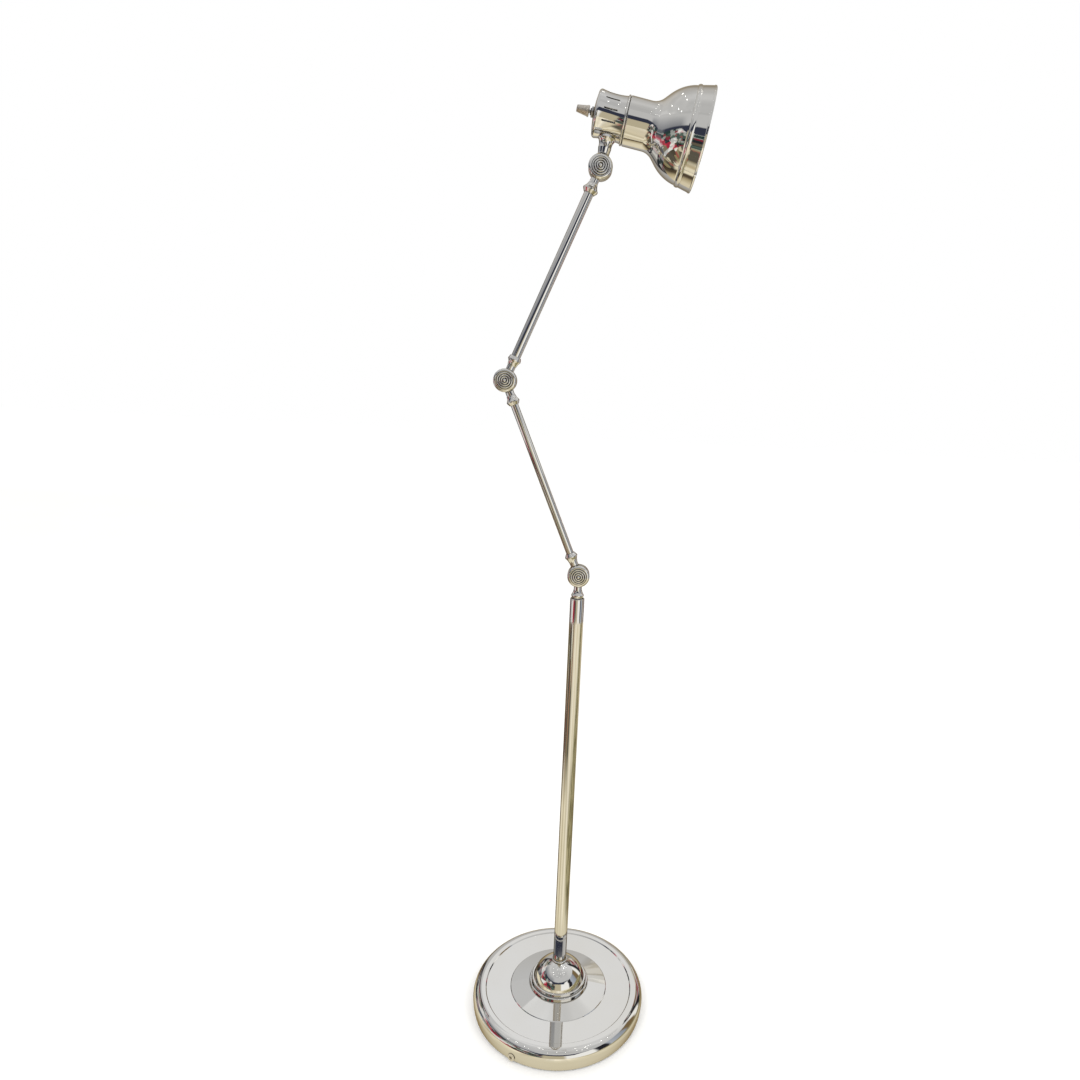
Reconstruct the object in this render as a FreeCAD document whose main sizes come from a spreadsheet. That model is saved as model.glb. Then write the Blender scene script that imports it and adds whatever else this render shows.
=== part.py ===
import FreeCAD, Part
import math
import os
from types import SimpleNamespace

import Sketcher

# Articulated reading floor lamp: weighted round base, pole, two arms on disc knuckles, and a
# vented cup with a bell shade. Millimetres and degrees, +Z up, floor at Z = 0 under the pole.
# The hinge axes run along Y; a lean is a turn about +Y, positive towards +X.

SIZES = {
    # base
    "base_radius": 125.0,
    "cover_wall": 1.2,
    "cover_lip_height": 1.0,
    "cover_lip_tuck": 1.8,
    "side_bow": 56.0,
    "shoulder_round": 12.3,
    "band_width": 5.5,
    "band_height": 27.3,
    "flat_height": 26.0,
    "cone_radius": 70.0,
    "cone_step": 0.8,
    "cone_height": 32.0,
    "hub_radius": 43.0,
    "hub_tier": 4.8,
    "hub_tier_inset": 3.0,
    "hub_tier_round": 1.5,
    "dome_radius": 37.0,
    "dome_side_bow": 60.0,
    "dome_shoulder_radius": 32.5,
    "dome_shoulder_height": 52.5,
    "dome_top_height": 68.0,
    "dome_bow": 45.0,
    "dome_mouth_radius": 10.6,
    "felt_margin": 6.0,
    "felt_thickness": 2.0,
    "weight_margin": 7.0,
    "weight_edge_height": 11.0,
    "weight_chamfer": 14.0,
    "weight_boss_radius": 40.0,
    "weight_recess_radius": 20.0,
    "weight_recess_top": 12.0,
    "channel_width": 9.0,
    "channel_depth": 9.0,
    "nipple_radius": 5.0,
    "nipple_bore": 3.2,
    "nipple_low": 3.5,
    "nipple_high": 72.0,
    "base_washer_radius": 14.0,
    "base_washer_thickness": 2.0,
    "base_nut_radius": 9.8,
    "base_nut_height": 6.0,
    "bushing_angle": -118.0,
    "bushing_height": 7.0,
    "bushing_hole": 4.1,
    "bushing_flange": 5.3,
    "bushing_flange_thickness": 1.6,
    "bushing_bore": 2.3,
    # pole
    "pole_radius": 9.5,
    "pole_wall": 1.2,
    "pole_foot": 58.0,
    "pole_top": 619.5,
    "foot_plug_height": 18.0,
    "pole_spigot": 14.0,
    "pole_flange": 1.4,
    "pole_ring_radius": 11.4,
    "pole_ring_height": 2.4,
    # knuckles: distances are along the link from the hinge axis
    "disc_radius": 14.75,
    "disc_thickness": 8.4,
    "disc_round": 3.1,
    "disc_inner_round": 0.5,
    "disc_gap": 0.6,
    "disc_clearance": 0.5,
    "washer_thickness": 0.4,
    "washer_radius": 12.0,
    "bolt_radius": 3.0,
    "bolt_head_radius": 5.0,
    "bolt_head_thickness": 2.0,
    "bolt_tail": 5.0,
    "cap_radius": 10.7,
    "cap_recess": 0.8,
    "cap_edge": 1.0,
    "cap_ring_width": 2.7,
    "cap_ring_rise": 0.5,
    "cap_ring_bow": 1.45,
    "cap_button_rise": 1.5,
    "acorn_radius": 5.2,
    "acorn_hex": 3.6,
    "acorn_dome": 3.8,
    "neck_radius": 5.4,
    "neck_start": 9.0,
    "neck_spigot_radius": 4.0,
    "collar_start": 20.0,
    "collar_socket": 26.5,
    "collar_end": 32.5,
    "collar_belt": 2.6,
    "collar_radius": 8.4,
    "top_collar_radius": 9.6,
    "pole_collar_radius": 8.3,
    # arms
    "lower_arm_length": 270.5,
    "lower_arm_lean": -22.8,
    "lower_tube_radius": 5.0,
    "upper_arm_length": 278.6,
    "upper_arm_lean": 22.6,
    "upper_tube_radius": 6.0,
    "arm_wall": 1.0,
    # head: axial sizes run forward along the shade from the cup's rear corner
    "head_lean": 10.25,
    "stem_length": 57.5,
    "stem_axial": 18.5,
    "stem_radius": 7.0,
    "stem_waist_radius": 8.0,
    "stem_waist_height": 22.0,
    "stem_flare_radius": 11.2,
    "stem_flare_bow": 12.0,
    "stem_saddle_depth": 3.0,
    "stem_nut_radius": 7.2,
    "stem_nut_height": 3.0,
    "stem_washer_radius": 8.2,
    "stem_washer_rise": 3.1,
    "stem_screw_height": 24.5,
    "stem_screw_radius": 2.3,
    "stem_screw_shank": 1.2,
    "stem_screw_depth": 4.0,
    "cup_rear_radius": 26.3,
    "cup_waist_radius": 25.1,
    "cup_front_radius": 26.0,
    "cup_wall": 1.1,
    "cup_dome": 3.6,
    "cup_corner": 3.6,
    "cup_length": 35.0,
    "cup_spigot": 6.0,
    "slot_start": 8.5,
    "slot_length": 16.7,
    "slot_width": 1.8,
    "slot_count": 11.0,
    "slot_pitch": 30.0,
    "bead_axial": 35.2,
    "bead_round": 1.3,
    "bead_radius": 27.7,
    "shade_wall": 1.0,
    "neck_shell_start": 36.9,
    "neck_shell_radius": 27.4,
    "neck_shell_end": 62.0,
    "flare_bow": 18.0,
    "flare_angle": 46.0,
    "bell_straight": 8.0,
    "bell_bow": 54.0,
    "bell_angle": 12.0,
    "rim_groove": 1.2,
    "rim_bead": 6.0,
    "rim_bead_rise": 1.6,
    "rim_bead_bow": 4.4,
    "rim_start_radius": 55.9,
    "rim_end_radius": 58.4,
    "rim_roll_axial": 128.2,
    "rim_roll": 2.8,
    "rim_roll_rise": 0.6,
    # light source and switch
    "bracket_web": 9.5,
    "bracket_foot": -0.25,
    "bracket_thickness": 1.2,
    "bracket_half_span": 19.5,
    "bracket_width": 12.0,
    "holder_radius": 15.6,
    "holder_flange_radius": 17.0,
    "holder_flange_end": 14.0,
    "holder_end": 37.0,
    "holder_floor": 13.0,
    "shell_radius": 14.2,
    "shell_wall": 0.8,
    "contact_radius": 3.5,
    "contact_thickness": 1.2,
    "bulb_cap_radius": 13.1,
    "bulb_cap_length": 24.0,
    "bulb_tip": 0.8,
    "bulb_neck_radius": 12.6,
    "bulb_radius": 26.0,
    "bulb_centre": 86.0,
    "bulb_wall": 0.8,
    "switch_radius": 10.0,
    "switch_rear": -1.8,
    "switch_front": 8.0,
    "switch_bushing_radius": 3.9,
    "switch_bushing_end": -7.4,
    "switch_nut_radius": 6.0,
    "switch_nut_thickness": 2.2,
    "switch_nut_seat": 3.85,
    "shaft_radius": 2.0,
    "shaft_inner_end": 4.0,
    "shaft_outer_end": -20.0,
    "knob_front": -9.0,
    "knob_rear": -24.0,
    "knob_radius": 6.4,
    "knob_rear_radius": 4.0,
    "knob_skirt": 2.4,
    # fits
    "running_gap": 0.05,
    "seat_gap": 0.2,
}

doc = FreeCAD.newDocument("reading_floor_lamp")
sheet = doc.addObject("Spreadsheet::Sheet", "Sizes")
for row, (alias, number) in enumerate(SIZES.items(), start=1):
    sheet.set(f"A{row}", alias)
    sheet.set(f"B{row}", str(number))
    sheet.setAlias(f"B{row}", alias)
doc.recompute()


# ---- sizes that know their sheet expression ----

class Size:
    """A number together with the sheet expression that gives it."""

    def __init__(self, value, text):
        self.value = value
        self.text = text

    def __add__(self, other):
        return Size(self.value + number_of(other), f"({self.text} + {text_of(other)})")

    def __sub__(self, other):
        return Size(self.value - number_of(other), f"({self.text} - {text_of(other)})")

    def __mul__(self, other):
        return Size(self.value * number_of(other), f"({self.text} * {text_of(other)})")

    def __truediv__(self, other):
        return Size(self.value / number_of(other), f"({self.text} / {text_of(other)})")

    def __neg__(self):
        return Size(-self.value, f"(-{self.text})")


def number_of(item):
    return item.value if isinstance(item, Size) else item


def text_of(item):
    return item.text if isinstance(item, Size) else f"{item:g}"


def sine(angle):
    return Size(math.sin(math.radians(angle.value)), f"sin({angle.text})")


def cosine(angle):
    return Size(math.cos(math.radians(angle.value)), f"cos({angle.text})")


def bind(thing, path, size):
    """Drive one property by its sheet expression."""
    if isinstance(size, Size):
        thing.setExpression(path, size.text)


size = SimpleNamespace(**{
    alias: Size(float(sheet.get(alias)), f"Sizes.{alias}") for alias in SIZES
})


# ---- frames: where a piece's own axes lie in the lamp ----

class Frame:
    """An origin in the lamp's XZ plane and a lean about +Y, which turns Z towards X."""

    def __init__(self, x, z, lean):
        self.x = x
        self.z = z
        self.lean = lean

    def shifted(self, across, along):
        """The same lean, moved across (own X) and along (own Z)."""
        x = self.x + cosine(self.lean) * across + sine(self.lean) * along
        z = self.z - sine(self.lean) * across + cosine(self.lean) * along
        return Frame(x, z, self.lean)

    def leaned(self, lean):
        """The same origin with another lean."""
        return Frame(self.x, self.z, lean)


def seat(thing, frame):
    """Place a piece on a frame, driven by the sheet."""
    thing.Placement = FreeCAD.Placement(
        FreeCAD.Vector(frame.x.value, 0, frame.z.value),
        FreeCAD.Rotation(FreeCAD.Vector(0, 1, 0), frame.lean.value))
    bind(thing, "Placement.Base.x", frame.x)
    bind(thing, "Placement.Base.z", frame.z)
    bind(thing, "Placement.Rotation.Angle", frame.lean)


half_turn = Size(180.0, "180")
quarter_turn = Size(90.0, "90")
nothing = Size(0.0, "0")

floor_frame = Frame(nothing, nothing, nothing)
lower_pivot = Frame(nothing, size.pole_top + size.collar_end, nothing)
lower_arm = lower_pivot.leaned(size.lower_arm_lean)
middle_pivot = lower_arm.shifted(0, size.lower_arm_length)
upper_arm = middle_pivot.leaned(size.upper_arm_lean)
head_pivot = upper_arm.shifted(0, size.upper_arm_length)
head = head_pivot.leaned(size.head_lean)
# The optic frame has its origin at the centre of the cup's rear corner, +Z forward out of the
# shade and +X down towards the stem.
optic = head.shifted(-size.stem_axial, size.stem_length).leaned(size.head_lean + quarter_turn)


# ---- sketches and features ----

pieces = []


def new_body(label, frame):
    body = doc.addObject("PartDesign::Body", label)
    body.Label = label
    seat(body, frame)
    pieces.append(body)
    return body


def new_sketch(body, plane, offset=0, spin=None):
    """A sketch on one of the body's origin planes, moved along and spun about its upright axis."""
    sketch = body.newObject("Sketcher::SketchObject", f"{body.Label}_sketch")
    support = [item for item in body.Origin.OriginFeatures if item.Role == plane][0]
    sketch.AttachmentSupport = [(support, "")]
    sketch.MapMode = "FlatFace"
    turn = FreeCAD.Rotation(FreeCAD.Vector(0, 1, 0), number_of(spin) if spin else 0)
    sketch.AttachmentOffset = FreeCAD.Placement(FreeCAD.Vector(0, 0, number_of(offset)), turn)
    bind(sketch, "AttachmentOffset.Base.z", offset)
    if spin:
        bind(sketch, "AttachmentOffset.Rotation.Angle", spin)
    return sketch


def pin_point(sketch, edge, end, across, up):
    """Hold one end of an edge at its place, driven by the sheet."""
    for kind, axis, place in (("DistanceX", -2, across), ("DistanceY", -1, up)):
        if number_of(place) == 0:
            sketch.addConstraint(Sketcher.Constraint("PointOnObject", edge, end, axis))
        else:
            index = sketch.addConstraint(
                Sketcher.Constraint(kind, -1, 1, edge, end, number_of(place)))
            bind(sketch, f"Constraints[{index}]", place)


def bow_geometry(start, end, radius, side):
    """The minor arc between two points; side 1 bulges to the right of the way, -1 to the left."""
    middle = (start + end) * 0.5
    way = end - start
    left = FreeCAD.Vector(-way.y, way.x, 0).normalize()
    rise = math.sqrt(radius * radius - way.Length * way.Length / 4)
    centre = middle + left * rise * side
    circle = Part.Circle(centre, FreeCAD.Vector(0, 0, 1), radius)
    first, last = (start, end) if side > 0 else (end, start)
    angles = [math.atan2(point.y - centre.y, point.x - centre.x) for point in (first, last)]
    return Part.ArcOfCircle(circle, angles[0], angles[1])


def draw_outline(sketch, points):
    """A closed outline. A point is (across, up), or (across, up, radius, side) where an arc leaves
    it for the next point: side 1 bulges to the right of the way there, -1 to the left."""
    corners = [FreeCAD.Vector(number_of(point[0]), number_of(point[1]), 0) for point in points]
    ends = []
    for index, point in enumerate(points):
        start, end = corners[index], corners[(index + 1) % len(points)]
        if len(point) == 2:
            edge = sketch.addGeometry(Part.LineSegment(start, end), False)
            ends.append((edge, 1, 2))
            continue
        radius, side = point[2], point[3]
        edge = sketch.addGeometry(bow_geometry(start, end, number_of(radius), side), False)
        ends.append((edge, 1, 2) if side > 0 else (edge, 2, 1))
        rule = sketch.addConstraint(Sketcher.Constraint("Radius", edge, number_of(radius)))
        bind(sketch, f"Constraints[{rule}]", radius)
    for index, (edge, first, last) in enumerate(ends):
        pin_point(sketch, edge, first, points[index][0], points[index][1])
        after, after_first, _ = ends[(index + 1) % len(ends)]
        sketch.addConstraint(Sketcher.Constraint("Coincident", edge, last, after, after_first))


def draw_circle(sketch, radius, across=0, up=0):
    centre = FreeCAD.Vector(number_of(across), number_of(up), 0)
    circle = Part.Circle(centre, FreeCAD.Vector(0, 0, 1), number_of(radius))
    edge = sketch.addGeometry(circle, False)
    rule = sketch.addConstraint(Sketcher.Constraint("Radius", edge, number_of(radius)))
    bind(sketch, f"Constraints[{rule}]", radius)
    pin_point(sketch, edge, 3, across, up)


def turn_outline(body, points, plane="XZ_Plane", cut=False):
    """Turn an outline about its upright axis: Z on the XZ plane, Y on the XY plane."""
    sketch = new_sketch(body, plane)
    draw_outline(sketch, points)
    kind = "Groove" if cut else "Revolution"
    feature = body.newObject(f"PartDesign::{kind}", f"{body.Label}_{kind.lower()}")
    feature.Profile = sketch
    feature.ReferenceAxis = (sketch, ["V_Axis"])
    feature.Angle = 360
    return feature


def press_sketch(body, sketch, depth, kind, flipped=False, both_ways=False):
    """Pad a sketch or pocket it away, to a depth along its normal."""
    feature = body.newObject(f"PartDesign::{kind}", f"{body.Label}_{kind.lower()}")
    feature.Profile = sketch
    feature.Length = number_of(depth)
    feature.Reversed = flipped
    feature.Midplane = both_ways
    bind(feature, "Length", depth)
    return feature


def turned_piece(label, frame, points, plane="XZ_Plane"):
    body = new_body(label, frame)
    turn_outline(body, points, plane)
    return body


def ring(inner, outer, low, high):
    """The outline of a plain ring or tube."""
    return [(inner, low), (outer, low), (outer, high), (inner, high)]


def hex_prism(body, radius, height, plane, offset, flipped=False):
    """A hexagonal block with its corners on the given radius."""
    sketch = new_sketch(body, plane, offset)
    points = []
    for corner in range(6):
        angle = math.radians(60 * corner)
        points.append((radius * math.cos(angle), radius * math.sin(angle)))
    draw_outline(sketch, [(zero_small(x), zero_small(y)) for x, y in points])
    return press_sketch(body, sketch, height, "Pad", flipped)


def zero_small(place):
    """An exact zero for a corner that lies on an axis."""
    return 0 if abs(place.value) < 1e-9 else place


def hex_nut(label, frame, radius, height, bore):
    """A plain hexagonal nut from the frame's origin up its Z axis."""
    body = new_body(label, frame)
    hex_prism(body, radius, height, "XY_Plane", 0)
    sketch = new_sketch(body, "XY_Plane")
    draw_circle(sketch, bore)
    press_sketch(body, sketch, height, "Pocket", flipped=True)
    return body


# ---- base ----

def base_pieces():
    felt_top = size.felt_thickness
    felt_radius = size.base_radius - size.felt_margin
    turned_piece("felt_pad", floor_frame, [
        (0, 0), (felt_radius, 0), (felt_radius, felt_top), (0, felt_top)])

    hole = size.nipple_radius + size.running_gap
    weight_top = size.flat_height - size.cover_wall - size.seat_gap
    cone_under = size.cone_height - size.cover_wall
    weight_radius = size.base_radius - size.weight_margin
    weight = turned_piece("base_weight", floor_frame, [
        (size.weight_recess_radius, felt_top),
        (weight_radius, felt_top),
        (weight_radius, size.weight_edge_height),
        (weight_radius - size.weight_chamfer, weight_top),
        (size.weight_boss_radius, weight_top),
        (size.weight_boss_radius, cone_under),
        (hole, cone_under),
        (hole, size.weight_recess_top),
        (size.weight_recess_radius, size.weight_recess_top)])
    channel = new_sketch(weight, "XY_Plane", felt_top)
    half = size.channel_width / 2
    direction = FreeCAD.Rotation(FreeCAD.Vector(0, 0, 1), size.bushing_angle.value)
    channel.AttachmentOffset = FreeCAD.Placement(
        FreeCAD.Vector(0, 0, felt_top.value), direction)
    bind(channel, "AttachmentOffset.Rotation.Angle", size.bushing_angle)
    draw_outline(channel, [
        (0, -half), (size.base_radius, -half), (size.base_radius, half), (0, half)])
    press_sketch(weight, channel, size.channel_depth, "Pocket", flipped=True)

    base_cover()
    base_hub()

    turned_piece("centre_nipple", floor_frame, ring(
        size.nipple_bore, size.nipple_radius, size.nipple_low, size.nipple_high))
    washer_low = size.weight_recess_top - size.base_washer_thickness
    turned_piece("base_washer", floor_frame, ring(
        hole, size.base_washer_radius, washer_low, size.weight_recess_top))
    hex_nut("base_nut", floor_frame.shifted(0, washer_low - size.base_nut_height),
            size.base_nut_radius, size.base_nut_height, hole)
    cord_bushing()


def cover_skin(inset):
    """The cover's section from its lip to its centre hole, moved inward by the inset."""
    side = size.base_radius - inset
    shoulder = size.shoulder_round
    band = size.band_height - inset
    band_inner = size.base_radius - shoulder - size.band_width + inset * 0.4
    step = size.band_height - size.flat_height
    flat = size.flat_height - inset
    cone_outer = size.cone_radius - inset * 0.4
    return [
        (side - size.cover_lip_tuck, size.cover_lip_height, size.side_bow - inset, 1),
        (side, size.band_height - shoulder, shoulder - inset, 1),
        (size.base_radius - shoulder, band),
        (band_inner, band),
        (band_inner - step, flat),
        (cone_outer + size.cone_step, flat),
        (cone_outer, flat + size.cone_step),
        (size.hub_radius, size.cone_height - inset),
        (size.nipple_radius + size.running_gap, size.cone_height - inset),
    ]


def base_cover():
    outer = cover_skin(nothing)
    inner = cover_skin(size.cover_wall)
    # The inner skin is walked back from the hole to the lip, so each arc moves to its other end.
    back = []
    for index in range(len(inner) - 1, -1, -1):
        across, up = inner[index][:2]
        bow = inner[index - 1][2:] if index > 0 else ()
        back.append((across, up, bow[0], -bow[1]) if bow else (across, up))
    body = turned_piece("base_cover", floor_frame, outer + back)

    hole = new_sketch(body, "XZ_Plane", 0, size.bushing_angle + quarter_turn)
    draw_circle(hole, size.bushing_hole, 0, size.bushing_height)
    press_sketch(body, hole, size.base_radius + size.cover_wall, "Pocket", flipped=True)


def base_hub():
    """A stepped foot, a rounded drum and a low dome, bored for the nipple and the pole."""
    points = [(size.nipple_radius + size.running_gap, size.cone_height)]
    for tier in range(2):
        radius = size.hub_radius - size.hub_tier_inset * tier
        low = size.cone_height + size.hub_tier * tier
        high = low + size.hub_tier
        points += [(radius, low),
                   (radius, high - size.hub_tier_round, size.hub_tier_round, 1),
                   (radius - size.hub_tier_round, high)]
    socket = size.pole_radius + size.running_gap
    points += [
        (size.dome_radius, size.cone_height + size.hub_tier * 2, size.dome_side_bow, 1),
        (size.dome_shoulder_radius, size.dome_shoulder_height, size.dome_bow, 1),
        (size.dome_mouth_radius, size.dome_top_height),
        (socket, size.dome_top_height),
        (socket, size.pole_foot),
        (size.nipple_radius + size.running_gap, size.pole_foot),
    ]
    turned_piece("base_hub", floor_frame, points)


def cord_bushing():
    """A flanged bushing through the cover's side, turned about its own radial axis."""
    radians = math.radians(size.bushing_angle.value)
    face = size.base_radius.value
    body = doc.addObject("PartDesign::Body", "cord_bushing")
    body.Label = "cord_bushing"
    spin = FreeCAD.Rotation(FreeCAD.Vector(0, 0, 1), size.bushing_angle.value)
    lay = FreeCAD.Rotation(FreeCAD.Vector(0, 1, 0), 90)
    body.Placement = FreeCAD.Placement(
        FreeCAD.Vector(face * math.cos(radians), face * math.sin(radians),
                       size.bushing_height.value), spin.multiply(lay))
    bind(body, "Placement.Base.x", size.base_radius * cosine(size.bushing_angle))
    bind(body, "Placement.Base.y", size.base_radius * sine(size.bushing_angle))
    bind(body, "Placement.Base.z", size.bushing_height)
    neck = size.bushing_hole - size.running_gap * 2
    inner_face = -size.cover_wall - size.cover_lip_tuck
    turn_outline(body, [
        (size.bushing_bore, inner_face - size.bushing_flange_thickness),
        (size.bushing_flange, inner_face - size.bushing_flange_thickness),
        (size.bushing_flange, inner_face),
        (neck, inner_face),
        (neck, size.seat_gap),
        (size.bushing_flange, size.seat_gap),
        (size.bushing_flange - size.seat_gap * 3, size.bushing_flange_thickness),
        (size.bushing_bore, size.bushing_flange_thickness)])
    pieces.append(body)


# ---- pole ----

def pole_pieces():
    inner = size.pole_radius - size.pole_wall
    plug = inner - size.running_gap
    turned_piece("foot_plug", floor_frame, ring(
        size.nipple_radius + size.running_gap, plug,
        size.pole_foot, size.pole_foot + size.foot_plug_height))
    turned_piece("pole", floor_frame, ring(
        inner, size.pole_radius, size.pole_foot, size.pole_top))

    down = lower_pivot.leaned(half_turn)
    flange = size.collar_end - size.pole_flange
    spigot_end = size.collar_end + size.pole_spigot
    points = collar_outline(size.pole_collar_radius, size.pole_collar_radius - 1, flange)
    turned_piece("pole_collar", down, points + [
        (size.pole_radius - 0.4, flange),
        (size.pole_radius, flange + 0.4),
        (size.pole_radius, size.collar_end),
        (plug, size.collar_end),
        (plug, spigot_end),
        (0, spigot_end),
        (0, size.collar_socket),
        (size.neck_spigot_radius + size.running_gap, size.collar_socket)])

    ring_foot = size.dome_top_height
    bulge = size.pole_ring_height / 2
    turned_piece("pole_ring", floor_frame, [
        (size.pole_radius + size.running_gap, ring_foot),
        (size.pole_ring_radius - bulge, ring_foot, bulge * 1.001, 1),
        (size.pole_ring_radius - bulge, ring_foot + size.pole_ring_height),
        (size.pole_radius + size.running_gap, ring_foot + size.pole_ring_height)])


# ---- knuckles and collars ----

def collar_outline(radius, end_radius, end):
    """The outside of a collar from its bore at the neck to its end at the tube: a tulip swelling
    towards the tube, a short belt, and a quick taper."""
    bore = size.neck_spigot_radius + size.running_gap
    belt_start = end - size.collar_belt * 2
    return [
        (bore, size.collar_start),
        (size.neck_radius + 0.4, size.collar_start, size.disc_radius, -1),
        (radius, belt_start),
        (radius, belt_start + size.collar_belt / 2),
        (end_radius, end)]


def arm_collar(label, frame, radius, tube_radius):
    """A collar that joins a knuckle's neck to an arm tube."""
    socket = tube_radius + size.running_gap
    points = collar_outline(radius, tube_radius + 1, size.collar_end)
    turned_piece(label, frame, points + [
        (socket, size.collar_end),
        (socket, size.collar_socket),
        (size.neck_spigot_radius + size.running_gap, size.collar_socket)])


def disc_outline(side):
    """Section of a knuckle disc about the hinge axis; side -1 is the front, towards -Y."""
    inner = size.disc_gap / 2 * side
    outer = (size.disc_gap / 2 + size.disc_thickness) * side
    hole = size.bolt_radius + size.running_gap
    rim = size.disc_radius
    points = [
        (hole, inner),
        (rim - size.disc_inner_round, inner, size.disc_inner_round, side),
        (rim, inner + size.disc_inner_round * side),
        (rim, outer - size.disc_round * side, size.disc_round, side),
        (rim - size.disc_round, outer)]
    if side > 0:
        return points + [(hole, outer)]
    recess = size.cap_radius + size.seat_gap
    recess_floor = outer + size.cap_recess
    counterbore = size.bolt_head_radius + size.running_gap * 2
    floor = recess_floor + size.bolt_head_thickness
    return points + [
        (recess, outer), (recess, recess_floor),
        (counterbore, recess_floor), (counterbore, floor), (hole, floor)]


def knuckle_half(label, frame, side, neck_points):
    """A disc on one side of the hinge's middle plane, with a neck up the frame's Z axis that
    clears the other disc."""
    body = new_body(label, frame)
    turn_outline(body, disc_outline(side), "XY_Plane")
    turn_outline(body, neck_points)
    relief = new_sketch(body, "XZ_Plane", size.disc_gap / 2 * -side)
    draw_circle(relief, size.disc_radius + size.disc_clearance)
    press_sketch(body, relief, size.disc_radius, "Pocket", flipped=side > 0)
    return body


def arm_neck():
    """The neck's outline, from inside the disc to the end of its spigot in the collar."""
    return [
        (0, size.neck_start),
        (size.neck_radius, size.neck_start),
        (size.neck_radius, size.collar_start),
        (size.neck_spigot_radius, size.collar_start),
        (size.neck_spigot_radius, size.collar_socket),
        (0, size.collar_socket)]


def knuckle_hardware(name, frame):
    """The bolt, friction washer, ringed front cap and acorn nut of one knuckle."""
    face = size.disc_gap / 2 + size.disc_thickness
    seat_front = size.cap_recess - face
    head_back = seat_front + size.bolt_head_thickness
    tail = face + size.bolt_tail
    turned_piece(f"{name}_bolt", frame, [
        (0, seat_front), (size.bolt_head_radius, seat_front), (size.bolt_head_radius, head_back),
        (size.bolt_radius, head_back), (size.bolt_radius, tail), (0, tail)], "XY_Plane")

    hole = size.bolt_radius + size.running_gap
    washer_front = -size.disc_gap / 2
    turned_piece(f"{name}_washer", frame, ring(
        hole, size.washer_radius, washer_front, washer_front + size.washer_thickness), "XY_Plane")

    button = size.cap_radius - size.cap_ring_width * 3
    rise = size.cap_button_rise
    button_round = (button * button + rise * rise) / (rise * 2)
    button_foot = seat_front - size.cap_edge - size.cap_ring_rise * 3
    ridges = [
        (button + size.cap_ring_width * step, button_foot + size.cap_ring_rise * step,
         size.cap_ring_bow, 1)
        for step in range(3)]
    turned_piece(f"{name}_cap", frame, [
        (0, seat_front), (0, button_foot - rise, button_round, 1)] + ridges + [
        (size.cap_radius, seat_front - size.cap_edge), (size.cap_radius, seat_front)], "XY_Plane")
    acorn_nut(f"{name}_nut", frame, face + size.seat_gap)


def acorn_nut(label, frame, seat_height):
    """A domed hexagonal nut on the back of a knuckle, blind-bored for the bolt's tail."""
    body = new_body(label, frame)
    hex_prism(body, size.acorn_radius, size.acorn_hex, "XZ_Plane", -seat_height, flipped=True)
    hex_top = seat_height + size.acorn_hex
    foot = size.acorn_radius * 0.8
    turn_outline(body, [
        (0, hex_top - 0.5), (foot, hex_top - 0.5), (foot, hex_top, size.acorn_radius, 1),
        (0, hex_top + size.acorn_dome)], "XY_Plane")
    bore = size.bolt_radius + size.running_gap
    depth = size.disc_gap / 2 + size.disc_thickness + size.bolt_tail + size.seat_gap
    turn_outline(body, [
        (0, seat_height), (bore, seat_height), (bore, depth), (0, depth)], "XY_Plane", cut=True)


# ---- arms ----

def arm_pieces(name, foot_frame, length, side, tube_radius, foot_collar, top_collar):
    """One arm: a knuckle half and a collar at each end of a tube."""
    top_frame = foot_frame.shifted(0, length).leaned(foot_frame.lean + half_turn)
    for end, frame, radius in (("foot", foot_frame, foot_collar), ("top", top_frame, top_collar)):
        knuckle_half(f"{name}_{end}", frame, side, arm_neck())
        arm_collar(f"{name}_{end}_collar", frame, radius, tube_radius)
    turned_piece(f"{name}_tube", foot_frame, ring(
        tube_radius - size.arm_wall, tube_radius,
        size.collar_socket, length - size.collar_socket))


# ---- head ----

def cup_side(offset):
    """The cup's waisted side as two outline points, below the optic axis and moved outward."""
    corner = size.cup_corner - size.cup_dome / 3
    return [
        (corner, -size.cup_rear_radius - offset, size.cup_length * 2.6 - offset, -1),
        (size.cup_length, -size.cup_front_radius - offset)]


def turn_about_optic(body, points):
    """Turn material away about the optic axis, which crosses the head's frame."""
    sketch = new_sketch(body, "XZ_Plane")
    sketch.AttachmentOffset = FreeCAD.Placement(
        FreeCAD.Vector(-size.stem_axial.value, size.stem_length.value, 0), FreeCAD.Rotation())
    bind(sketch, "AttachmentOffset.Base.x", -size.stem_axial)
    bind(sketch, "AttachmentOffset.Base.y", size.stem_length)
    draw_outline(sketch, points)
    groove = body.newObject("PartDesign::Groove", f"{body.Label}_saddle")
    groove.Profile = sketch
    groove.ReferenceAxis = (sketch, ["H_Axis"])
    groove.Angle = 360


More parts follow.
